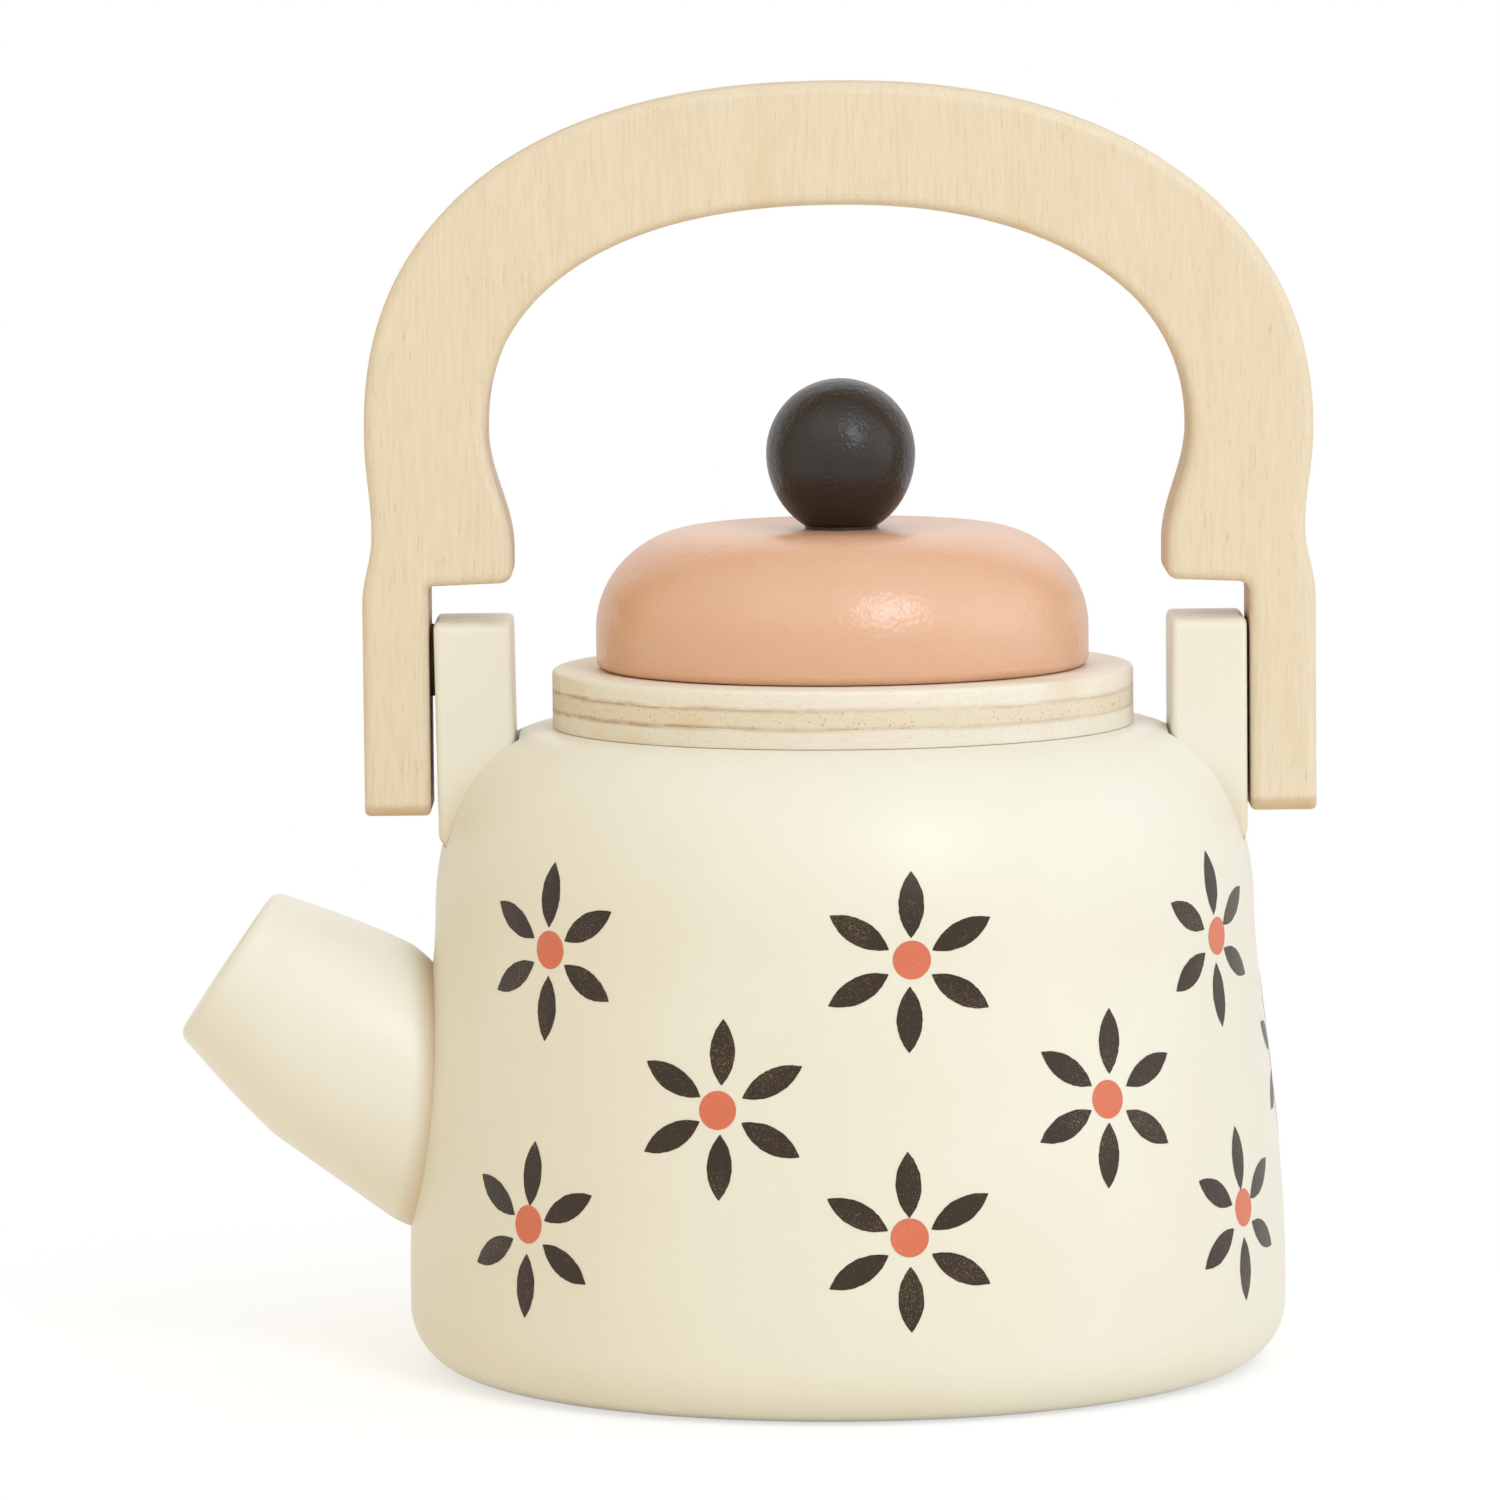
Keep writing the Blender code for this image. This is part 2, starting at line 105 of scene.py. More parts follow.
def turn(name, profile, sides, ring=False):
    """Turns a piece on the Z axis: a circle is drawn up through a profile of radii and heights."""
    radius, height = profile[0]
    fill = "NOTHING" if ring else "NGON"
    piece = open_piece(
        name, bpy.ops.mesh.primitive_circle_add, vertices=sides, radius=radius, fill_type=fill
    )
    bpy.ops.transform.translate(value=(0, 0, height))
    for wider, higher in profile[1:] + profile[:1] * ring:
        bpy.ops.mesh.extrude_region_move(TRANSFORM_OT_translate={"value": (0, 0, higher - height)})
        share = wider / radius
        bpy.ops.transform.resize(value=(share, share, 1), center_override=(0, 0, higher))
        radius, height = wider, higher
    return close_piece(piece)


def apply_modifier(piece, kind, **settings):
    """Puts a modifier on a piece, sets it and applies it."""
    bpy.ops.object.select_all(action="DESELECT")
    bpy.context.view_layer.objects.active = piece
    piece.select_set(True)
    modifier = piece.modifiers.new(kind.lower(), kind)
    for name, setting in settings.items():
        setattr(modifier, name, setting)
    bpy.ops.object.modifier_apply(modifier=modifier.name)


def carve(piece, cutter):
    """Cuts a shape out of a piece, and throws the shape away."""
    apply_modifier(piece, "BOOLEAN", object=cutter, operation="DIFFERENCE", solver="EXACT")
    bpy.data.objects.remove(cutter)
    bpy.ops.object.shade_smooth_by_angle(angle=math.radians(SHARP))


def block(name, low, high):
    """Cube between two corners, left open in edit mode."""
    piece = open_piece(name, bpy.ops.mesh.primitive_cube_add, size=1)
    bpy.ops.transform.resize(value=[top - bottom for bottom, top in zip(low, high)])
    bpy.ops.transform.translate(value=[(bottom + top) / 2 for bottom, top in zip(low, high)])
    return piece


def body_wall(grow=0.0):
    """Outside of the body from the foot up to the flat seat of the collar, grown by a gap."""
    foot = FOOT_RADIUS - FOOT_ROUNDING
    wall = arc((foot, FOOT_ROUNDING), FOOT_ROUNDING + grow, FOOT_ROUNDING, -90, 0, FOOT_STEPS)
    knots = (
        (FOOT_RADIUS, BELLY_START), (FOOT_RADIUS, BELLY_START + BELLY_PULL),
        (SHOULDER_RADIUS, SHOULDER_START - WAIST_PULL), (SHOULDER_RADIUS, SHOULDER_START),
    )
    pulls = (Vector((radius + grow, height, 0)) for radius, height in knots)
    wall += [(point.x, point.y) for point in interpolate_bezier(*pulls, WALL_STEPS)]
    run, rise = SHOULDER_RADIUS - SEAT_RADIUS + grow, BODY_TOP - SHOULDER_START
    return wall + arc((SEAT_RADIUS, SHOULDER_START), run, rise, 0, 90, SHOULDER_STEPS)[1:]


class Wire:
    """A socket in a finish's node tree. Arithmetic on it adds Math nodes."""

    def __init__(self, tree, socket):
        self.tree = tree
        self.socket = socket

    def node(self, kind, settings, values, output=0):
        """Adds a node, sets it up, fills or links its sockets, and gives one of its outputs."""
        added = self.tree.nodes.new(kind)
        for name, setting in settings.items():
            setattr(added, name, setting)
        for name, value in values.items():
            if isinstance(value, Wire):
                self.tree.links.new(value.socket, added.inputs[name])
            else:
                added.inputs[name].default_value = value
        return Wire(self.tree, added.outputs[output])

    def math(self, operation, *values):
        return self.node("ShaderNodeMath", {"operation": operation}, dict(enumerate(values)))

    def __add__(self, other):
        return self.math("ADD", self, other)

    def __radd__(self, other):
        return self.math("ADD", other, self)

    def __sub__(self, other):
        return self.math("SUBTRACT", self, other)

    def __rsub__(self, other):
        return self.math("SUBTRACT", other, self)

    def __mul__(self, other):
        return self.math("MULTIPLY", self, other)

    def __rmul__(self, other):
        return self.math("MULTIPLY", other, self)


def new_finish(name):
    """Material with its shader, and each point's place on the piece in metres."""
    finish = bpy.data.materials.new(name)
    finish.use_nodes = True
    tree = finish.node_tree
    place = tree.nodes.new("ShaderNodeTexCoord").outputs["Object"]
    return finish, tree.nodes["Principled BSDF"], Wire(tree, place)


def feed(shader, socket, wire):
    wire.tree.links.new(wire.socket, shader.inputs[socket])


def hue(red, green, blue):
    """Linear colour of the red, green and blue that a colour chart gives, from 0 to 255."""
    shares = [tone / 255 for tone in (red, green, blue)]
    linear = [tone / 12.92 if tone <= 0.04045 else ((tone + 0.055) / 1.055) ** 2.4 for tone in shares]
    return (*linear, 1.0)


def specks(place, per_metre, detail=2.0):
    """Soft noise from 0 to 1, with so many specks in a metre along X, Y and Z."""
    spread = place.node("ShaderNodeVectorMath", {"operation": "MULTIPLY"}, {0: place, 1: per_metre})
    return spread.node("ShaderNodeTexNoise", {}, {"Vector": spread, "Scale": 1.0, "Detail": detail})


def ramp(value, low, high):
    """0 below the first limit and 1 above the second, eased between them."""
    limits = {"Value": value, "From Min": low, "From Max": high}
    return value.node("ShaderNodeMapRange", {"interpolation_type": "SMOOTHSTEP"}, limits)


def mix(share, first, second):
    """Colour between two colours."""
    return share.node("ShaderNodeMix", {"data_type": "RGBA"}, {0: share, 6: first, 7: second}, 2)


def relief(height, depth):
    """Normal of a surface that is raised by a height of 0 to 1 times a depth in metres."""
    sockets = {"Height": height, "Strength": 1.0, "Distance": depth}
    return height.node("ShaderNodeBump", {}, sockets, "Normal")


PAINT_CLOUDS, PAINT_SWELLS, PAINT_DROPLETS = 38, 520, 1900
PAINT_UNEVEN = 0.06
# Brown that paint takes on where wood shows through worn paint, and as painted shade in creases and
# nooks.
WOOD_AND_SHADE_BROWN = hue(204, 172, 124)
BARE_ROUGHNESS, BARE_DEPTH = 0.62, 0.00003


def paint(name, colour, deep, roughness, peel, gloss, wear_and_shade=None):
    """Sprayed satin paint: an even colour in faint clouds, with an orange peel of a depth in metres.

    An optional function gives, for a place, a share of brown: wood where the paint is worn, and painted
    shade in creases and nooks.
    """
    finish, shader, place = new_finish(name)
    cloud = specks(place, [PAINT_CLOUDS] * 3, 3)
    droplet = specks(place, [PAINT_DROPLETS] * 3)
    swell = specks(place, [PAINT_SWELLS] * 3)
    tone = mix(ramp(cloud, 0.3, 0.75) * 0.6 + droplet * 0.1, colour, deep)
    if wear_and_shade:
        tone = mix(wear_and_shade(place), tone, WOOD_AND_SHADE_BROWN)
    feed(shader, "Base Color", tone)
    feed(shader, "Roughness", roughness + (droplet - 0.5) * PAINT_UNEVEN)
    feed(shader, "Normal", relief(droplet + swell * 1.6, peel))
    shader.inputs["Specular IOR Level"].default_value = gloss
    return finish


def bare_wood(name, light, dark, along):
    """Bare hardwood with short flecks that run along an axis, given as specks in a metre."""
    finish, shader, place = new_finish(name)
    fleck = specks(place, along, 3)
    pore = ramp(specks(place, [count * 2.6 for count in along]), 0.6, 0.75)
    feed(shader, "Base Color", mix(ramp(fleck, 0.3, 0.75) * 0.7 + pore * 0.3, light, dark))
    feed(shader, "Roughness", BARE_ROUGHNESS + fleck * 0.1)
    feed(shader, "Normal", relief(fleck - pore * 0.6, BARE_DEPTH))
    return finish


CREAM = (hue(239, 236, 225), hue(235, 230, 216), 0.40, 0.00002, 0.45)
BORED_WOOD = (hue(214, 182, 136), hue(184, 147, 102), (420, 420, 30))
profile = body_wall()
profile += [(BORE_RADIUS + BORE_EDGE, BODY_TOP), (BORE_RADIUS, BODY_TOP - BORE_EDGE)]
profile += [(BORE_RADIUS, BORE_FLOOR + BORE_EDGE), (BORE_RADIUS - BORE_EDGE, BORE_FLOOR)]
body = turn("body", profile, BODY_SIDES)
for side in (-1, 1):
    across = sorted((side * (POST_LOW.x - NOTCH_GAP), side * (FOOT_RADIUS + NOTCH_GAP)))
    half = POST_HIGH.y + NOTCH_SIDE_GAP
    low, high = (across[0], -half, POST_LOW.z - NOTCH_SIDE_GAP), (across[1], half, POST_HIGH.z)
    carve(body, close_piece(block("notch", low, high)))
body.data.materials.append(paint("cream_paint", *CREAM))
body.data.materials.append(bare_wood("bored_wood", *BORED_WOOD))
for face in body.data.polygons:
    in_bore = face.center.xy.length < BORE_RADIUS + BORE_EDGE and face.center.z > BORE_FLOOR - BORE_EDGE
    face.material_index = 1 if in_bore else 0
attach(body, "kettle")
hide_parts("kettle_body")


# Flowers: three rows of six-petalled flowers, printed on the paint in charcoal ink with a coral
# dot in each middle. The ink is a thin film that follows the body, with slightly ragged edges.
FLOWER_ROWS = ((0.0573, -45.1, 53.3, 6), (0.0388, -16.7, 51.8, 5), (0.0233, -46.2, 53.6, 6))
FLOWER_SPREAD, FLOWER_TILT = 1.04, 1.2
# By row and number in it, how far a flower was printed off its place: its petals in degrees round
# the body, metres up and degrees of lean, then its dot in metres across and up.
OFF_PLACE = {
    (0, 2): (0.0, -0.0006, 0.0, 0.0, 0.0006),
    (1, 0): (-0.4, 0.0005, 0.0, 0.0004, -0.0005),
    (1, 1): (1.1, 0.0004, 6.5, -0.0010, -0.0004),
    (1, 2): (2.5, 0.0, 0.0, 0.0, 0.0),
    (2, 0): (0.3, -0.0005, 3.0, -0.0003, 0.0011),
    (2, 1): (-0.1, -0.0001, 0.0, -0.0002, 0.0006),
    (2, 2): (1.2, -0.0012, -1.5, 0.0001, 0.0002),
}
PETALS = 6
PETAL_ROOT, PETAL_TIP, PETAL_WIDTH = 0.0030, 0.01105, 0.00308
DOT_RADIUS, DOT_RIM = 0.00238, 0.00014
DOT_SLIP = 0.0003
PETAL_GRID, DOT_SIDES = (6, 18), 48
INK_FILM = 0.00004
INK_SPECKS, INK_PATCHES = 5200, 130
INK_ROUGHNESS, INK_GLOSS, INK_DEPTH = 0.36, 0.37, 0.000008
PRINT_REACH = 0.0700
RAGGED = 0.00004
draw = random.Random(7)

# A petal stands up from the middle of its flower: two arcs that meet in points. It starts as a flat
# grid of size 1, and the sides of the grid, short of its ends, are printed ragged.
length, sagitta = PETAL_TIP - PETAL_ROOT, PETAL_WIDTH / 2
bend = (length**2 / 4 + sagitta**2) / (2 * sagitta)
petal = open_piece(
    "petal", bpy.ops.mesh.primitive_grid_add, x_subdivisions=PETAL_GRID[0], y_subdivisions=PETAL_GRID[1],
    size=1,
)
bpy.ops.object.mode_set(mode="OBJECT")
petal_edge = [
    point.index for point in petal.data.vertices
    if abs(point.co.x) > 0.49 and abs(point.co.y) < 0.45
]
for point in petal.data.vertices:
    half = math.sqrt(bend**2 - (point.co.y * length) ** 2) - (bend - sagitta)
    point.co = (point.co.x * 2 * max(half, RAGGED), 0, PETAL_ROOT + (point.co.y + 0.5) * length)

# A dot is rings inside its edge, and the ink has dried darker in the outer ring.
dot = open_piece(
    "dot", bpy.ops.mesh.primitive_circle_add, vertices=DOT_SIDES, radius=DOT_RADIUS, fill_type="NGON",
    rotation=(math.pi / 2, 0, 0),
)
for ring in (DOT_RIM, DOT_RADIUS / 5, DOT_RADIUS / 5, DOT_RADIUS / 5):
    bpy.ops.mesh.inset(thickness=ring, depth=0)
bpy.ops.object.mode_set(mode="OBJECT")
bpy.ops.object.transform_apply(location=False, rotation=True, scale=False)
for face in dot.data.polygons:
    face.material_index = int(face.center.length > DOT_RADIUS - DOT_RIM and len(face.vertices) == 4)


def another(piece):
    """Copy of a piece with its own mesh."""
    copy = piece.copy()
    copy.data = piece.data.copy()
    bpy.context.scene.collection.objects.link(copy)
    return copy


def print_on_body(piece, azimuth, height, across=0.0, up=0.0):
    """Presses a flat print on the body at an azimuth in degrees, from the front towards the right."""
    turned = math.radians(azimuth)
    piece.data.transform(Matrix.Translation((across, 0, up)))
    piece.rotation_euler = (0, 0, turned)
    piece.location = (PRINT_REACH * math.sin(turned), -PRINT_REACH * math.cos(turned), height)
    bpy.context.view_layer.update()
    apply_modifier(
        piece, "SHRINKWRAP", target=body, wrap_method="PROJECT", use_project_y=True,
        use_positive_direction=True, use_negative_direction=False, offset=INK_FILM,
    )
    bpy.ops.object.transform_apply(location=True, rotation=True, scale=True)


def join(name, pieces):
    """Joins pieces into one of that name, shaded smooth."""
    bpy.ops.object.select_all(action="DESELECT")
    for piece in pieces:
        piece.select_set(True)
    bpy.context.view_layer.objects.active = pieces[0]
    bpy.ops.object.join()
    joined = bpy.context.object
    joined.name = joined.data.name = name
    bpy.ops.object.mode_set(mode="EDIT")
    return close_piece(joined)


petals, dots = [], []
for row, (row_height, first, spacing, count) in enumerate(FLOWER_ROWS):
    for seat in range(count):
        turned, raised, leaned, dot_across, dot_up = OFF_PLACE.get((row, seat), (0.0,) * 5)
        azimuth, height = first + spacing * seat + turned, row_height + raised
        tilt = draw.gauss(0, FLOWER_TILT) + leaned
        for number in range(PETALS):
            leaf = another(petal)
            for index in petal_edge:
                leaf.data.vertices[index].co.x += draw.uniform(-RAGGED, RAGGED)
            leaf.data.transform(Matrix.Rotation(math.radians(number * 360 / PETALS + tilt), 4, "Y"))
            leaf.data.transform(Matrix.Diagonal((FLOWER_SPREAD, 1, 1, 1)))
            print_on_body(leaf, azimuth, height)
            petals.append(leaf)
        middle = another(dot)
        slip_across, slip_up = draw.gauss(dot_across, DOT_SLIP), draw.gauss(dot_up, DOT_SLIP)
        print_on_body(middle, azimuth, height, slip_across, slip_up)
        dots.append(middle)
for blank in (petal, dot):
    bpy.data.objects.remove(blank)


def ink(name, colour, worn, wear):
    """Printed ink: a flat colour through which a share of fine paint specks shows, more in patches."""
    finish, shader, place = new_finish(name)
    speck = specks(place, [INK_SPECKS] * 3, 1)
    patch = specks(place, [INK_PATCHES] * 3)
    shows = ramp(speck + (patch - 0.5) * 0.5, 0.58, 0.8) * wear
    feed(shader, "Base Color", mix(shows, colour, worn))
    feed(shader, "Roughness", INK_ROUGHNESS + shows * 0.12)
    feed(shader, "Normal", relief(speck, INK_DEPTH))
    shader.inputs["Specular IOR Level"].default_value = INK_GLOSS
    return finish


printed_petals = join("printed_petals", petals)
printed_petals.data.materials.append(ink("petal_ink", hue(50, 34, 17), hue(146, 126, 102), 0.55))
printed_dots = join("printed_dots", dots)
printed_dots.data.materials.append(ink("dot_ink", hue(220, 118, 90), hue(238, 186, 158), 0.3))
printed_dots.data.materials.append(ink("dot_edge_ink", hue(168, 108, 62), hue(206, 150, 104), 0.5))
for print_piece in (printed_petals, printed_dots):
    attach(print_piece, "kettle")


# Collar: a ring sawn from three-ply birch and glued on top of the body, with its edges eased by
# sanding and lacquered. The cut edge shows the plies and the brown glue lines between them.
COLLAR_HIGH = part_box("collar_ring")[1]
COLLAR_EDGE, COLLAR_LOW_EDGE, COLLAR_RAISE, COLLAR_SEAM = 0.0006, 0.0002, 0.00024, 0.00004
PALE_BIRCH, BIRCH = (hue(242, 236, 225), hue(234, 223, 206)), (hue(234, 220, 198), hue(222, 202, 171))
BIRCH_STREAK, BIRCH_CUT, BIRCH_PORE = hue(224, 200, 154), hue(224, 205, 171), hue(168, 132, 92)
# The brown of the edges and feet stands for burn marks and end grain, and partly for painted shade.
GLUE_LINE, SCORCHED_AND_SHADED = hue(172, 138, 98), hue(186, 138, 86)
# The glue lines are fainter to the right, and fade between these two places on X.
GLUE_FADES = (-0.030, 0.012)
PLY_WAVES, PLY_WAVE = 55, 0.25
LACQUER_ROUGHNESS, LACQUER_DEPTH = 0.46, 0.00002


def axis(place, name):
    return place.node("ShaderNodeSeparateXYZ", {}, {0: place}, name)


def plywood(name, birch, layer_axis, low, high, plies, fibre_axis, cross_axis, scorch_and_shade, sawn=None):
    """Lacquered birch plywood with its plies stacked between two heights on an axis.

    Birch is the light and the shaded tone of its veneer. The face plies have their fibres along
    one axis and the plies between them along another. A share says how brown the edges are: partly
    burn marks that the tools left, partly painted shade on the rims and sawn edges. Sawn gives, for a
    place, a share of brown on end grain, which holds painted shade too.
    """
    finish, shader, place = new_finish(name)
    straight = (axis(place, layer_axis) - low) * (plies / (high - low))
    wavy = straight + (specks(place, [PLY_WAVES] * 3, 1) - 0.5) * PLY_WAVE
    depth = wavy.math("MINIMUM", wavy.math("MAXIMUM", wavy, 0.001), plies - 0.001)
    shallow = straight.math("MINIMUM", straight, plies - straight)
    edge = ramp(shallow, 0.3, 0.7)
    crossed = depth.math("MODULO", depth.math("FLOOR", depth), 2)
    inside = ramp(depth, 0.4, 0.7) * (1 - ramp(depth, plies - 0.7, plies - 0.4))
    seam = (1 - ramp(depth.math("PINGPONG", depth, 0.5), 0.01, 0.22)) * inside

    def fibres(direction, wide, long, detail):
        """Noise of so many fibres in a metre across the grain, and ends of fibres along it."""
        return specks(place, [long if letter == direction else wide for letter in "XYZ"], detail)

    def grain(direction):
        """Fine fibres, bands, clouds and pores."""
        return (
            fibres(direction, 2400, 170, 4), fibres(direction, 420, 30, 3),
            fibres(direction, 75, 13, 2), fibres(direction, 3600, 420, 1),
        )

    lengthwise, crosswise = grain(fibre_axis), grain(cross_axis)
    fine, band, cloud, pit = (one + (other - one) * crossed for one, other in zip(lengthwise, crosswise))
    pore = ramp(pit, 0.64, 0.76)
    tone = mix(ramp(fine, 0.25, 0.8) * 0.55 + ramp(band, 0.4, 0.8) * 0.15, *birch)
    tone = mix(ramp(cloud, 0.55, 0.75) * 0.5, tone, BIRCH_STREAK)
    tone = mix(crossed * 0.4, tone, BIRCH_CUT)
    tone = mix(pore * (0.2 + crossed * 0.5), tone, BIRCH_PORE)
    # Browned edges: burn marks and painted shade.
    burnt_and_shaded = edge * (0.3 + band * 0.6) * (0.55 + crossed * 0.45)
    tone = mix(burnt_and_shaded * scorch_and_shade, tone, SCORCHED_AND_SHADED)
    if sawn:
        tone = mix(sawn(place), tone, SCORCHED_AND_SHADED)
    glue = ramp(cloud + band, 0.6, 1.35) * (0.95 - ramp(axis(place, "X"), *GLUE_FADES) * 0.6)
    feed(shader, "Base Color", mix(seam * glue, tone, GLUE_LINE))
    feed(shader, "Roughness", LACQUER_ROUGHNESS + fine * 0.12)
    feed(shader, "Normal", relief(fine * 0.5 - pore * (0.5 + crossed) - seam * 0.6, LACQUER_DEPTH))
    return finish


inner, outer, edge = BORE_RADIUS, COLLAR_HIGH.x, COLLAR_LOW_EDGE
low, high = BODY_TOP + COLLAR_SEAM, COLLAR_HIGH.z + COLLAR_RAISE
profile = arc((outer - edge, low + edge), edge, edge, -90, 0, 4)
edge = COLLAR_EDGE
profile += arc((outer - edge, high - edge), edge, edge, 0, 90, 5)
profile += arc((inner + edge, high - edge), edge, edge, 90, 180, 5)
profile += [(inner, low)]
collar = turn("collar", profile, BODY_SIDES, ring=True)
# Its sawn edges are browned a little: burn marks and painted shade.
collar.data.materials.append(plywood(
    "collar_plywood", PALE_BIRCH, "Z", low, high, plies=3, fibre_axis="X", cross_axis="Y", scorch_and_shade=0.1,
))
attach(collar, "kettle")
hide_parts("collar_ring")


# Spout: a short turned barrel with a shallow mouth, coped to the body's side and rounded over where
# it meets it. One dowel holds it. Its paint is the body's cream made a little lighter and cooler, as
# painted light, with painted shade along the crease at the body.
SPOUT_MOUTH = Vector((-0.0791, 0.0, 0.05203))
SPOUT_PITCH, SPOUT_SIDES, SPOUT_SHARP = 34.5, 112, 50
MOUTH_RADIUS, MOUTH_BORE, MOUTH_DEPTH, MOUTH_LIP, MOUTH_EDGE = 0.0114, 0.0075, 0.0080, 0.0018, 0.0006
ROOT_RADIUS, SWELL_LENGTH, ROOT_LENGTH = 0.01565, 0.0260, 0.0480
FLARE_PULL, FLARE, ROOT_PULL = 0.0094, 0.0021, 0.0078
COPE_GAP, COPE_START = 0.00006, 0.0185
ROUND_OVER_RUN, ROUND_OVER_DROP, ROUND_OVER_STEPS = 0.0047, 0.0014, 7
ROUND_OVER_TURN, ROOT_SINK = 50, 0.0002
CREASE, CREASE_LEAN, CREASE_SHADE_SHARE = 0.0032, 0.0906, 0.5
# The spout's cream is a little lighter and cooler than the body's: painted light, for the light that
# falls on it from the front and above.
LIT_SPOUT_CREAM = (hue(243, 240, 232), hue(239, 235, 225), *CREAM[2:])


def from_axis(place):
    """Distance from the kettle's axis."""
    flat = place.node("ShaderNodeVectorMath", {"operation": "MULTIPLY"}, {0: place, 1: (1, 1, 0)})
    return flat.node("ShaderNodeVectorMath", {"operation": "LENGTH"}, {0: flat}, "Value")


def crease_shade(place):
    """Share of brown along the seam with the body, taken as a cone: painted shade in the crease."""
    wall = SHOULDER_RADIUS + SHOULDER_START * CREASE_LEAN
    clear = from_axis(place) + axis(place, "Z") * CREASE_LEAN - wall
    return (1 - ramp(clear, 0.0, CREASE)) * CREASE_SHADE_SHARE


lip, rim = MOUTH_LIP, MOUTH_EDGE
profile = [(MOUTH_BORE - rim, MOUTH_DEPTH), (MOUTH_BORE, MOUTH_DEPTH - rim)]
profile += arc((MOUTH_BORE + rim, rim), rim, rim, 180, 270, 5)
profile += arc((MOUTH_RADIUS - lip, lip), lip, lip, -90, -12, 6)
knots = (
    (MOUTH_RADIUS, lip), (MOUTH_RADIUS + FLARE, FLARE_PULL),
    (ROOT_RADIUS, SWELL_LENGTH - ROOT_PULL), (ROOT_RADIUS, SWELL_LENGTH),
)
swell = interpolate_bezier(*(Vector((*knot, 0)) for knot in knots), 24)
profile += [(point.x, point.y) for point in swell if point.y < COPE_START] + [(ROOT_RADIUS, ROOT_LENGTH)]
spout = turn("spout_barrel", profile, SPOUT_SIDES)
slope = Matrix.Translation(SPOUT_MOUTH) @ Matrix.Rotation(math.radians(90 + SPOUT_PITCH), 4, "Y")
cope = turn("cope", body_wall(COPE_GAP), BODY_SIDES)
cope.matrix_world = slope.inverted()
bpy.context.view_layer.update()
carve(spout, cope)
bpy.ops.object.mode_set(mode="EDIT")
pick(spout, "FACE", lambda face: face.normal.z > 0.3 and face.calc_center_median().z > MOUTH_DEPTH)
bpy.ops.mesh.delete(type="FACE")
pick(spout, "EDGE", lambda edge: edge.is_boundary)
centre = (ROOT_RADIUS - ROUND_OVER_DROP, 0)
curve = arc(centre, ROUND_OVER_DROP, ROUND_OVER_RUN, 0, ROUND_OVER_TURN, ROUND_OVER_STEPS)
bpy.ops.transform.translate(value=(0, 0, ROOT_SINK - curve[-1][1]))
heights = [vert.co.z for vert in bmesh.from_edit_mesh(spout.data).verts if vert.select]
middle = (min(heights) + max(heights)) / 2
for (radius, height), (narrower, higher) in zip(curve, curve[1:]):
    bpy.ops.mesh.extrude_edges_move(TRANSFORM_OT_translate={"value": (0, 0, higher - height)})
    share = narrower / radius
    bpy.ops.transform.resize(value=(share, share, share), center_override=(0, 0, middle + higher))
bpy.ops.mesh.edge_face_add()
close_piece(spout, SPOUT_SHARP)
spout.matrix_world = slope
bpy.ops.object.transform_apply(location=True, rotation=True, scale=True)
# Its paint takes painted shade in the crease along the body.
spout.data.materials.append(paint("spout_paint", *LIT_SPOUT_CREAM, wear_and_shade=crease_shade))
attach(spout, "kettle")
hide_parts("spout")


# Posts: two painted blocks let into the shoulder, each held down by two dowels. Their tops are
# rounded front and rear, so that the handle can swing over them.
POST_TOP_ROUNDING, POST_EDGE, POST_FOOT_ROUNDING = 0.0016, 0.0008, 0.0016
POST_LEAN = {"left_post": 0.0004, "right_post": 0.0}
POST_GROW = {"left_post": 0.0003, "right_post": 0.0}
POST_DROP = {"left_post": 0.0, "right_post": 0.0003}
RUB, RUB_SHARE = 0.0012, 0.4
RUB_PATCHES = 260
# The brown in the nook is painted shade: how far out it reaches, and its share.
NOOK, NOOK_SHADE_SHARE = 0.22, 0.3


def post_wear_and_shade(place):
    """Share of brown on a post: wood where the paint on its top is rubbed, and painted shade low in the
    shoulder's nook.
    """
    worn = specks(place, [RUB_PATCHES] * 3)
    rubbed = ramp(axis(place, "Z"), POST_HIGH.z - RUB, POST_HIGH.z) * ramp(worn, 0.2, 0.8) * RUB_SHARE
    across = (from_axis(place) - SEAT_RADIUS) * (1 / (SHOULDER_RADIUS - SEAT_RADIUS))
    above = (axis(place, "Z") - SHOULDER_START) * (1 / (BODY_TOP - SHOULDER_START))
    square = across * across + above * above
    beyond = square.math("SQRT", square)
    nook = (1 - ramp(beyond, 1.0, 1.0 + NOOK)) * (1 - ramp(above, 0.5, 0.95)) * NOOK_SHADE_SHARE
    return rubbed + nook


def under_handle(edge, top):
    """Front or rear edge of a post's top, over which the handle swings."""
    one, other = (vert.co for vert in edge.verts)
    return min(one.z, other.z) > top - MERGE and abs(one.y - other.y) < MERGE


def at_post_foot(edge, side, bottom):
    """Lower edge of a post's outer side."""
    one, other = (vert.co for vert in edge.verts)
    outside = min(one.x * side, other.x * side) > POST_HIGH.x - MERGE
    return outside and max(one.z, other.z) < bottom + MERGE


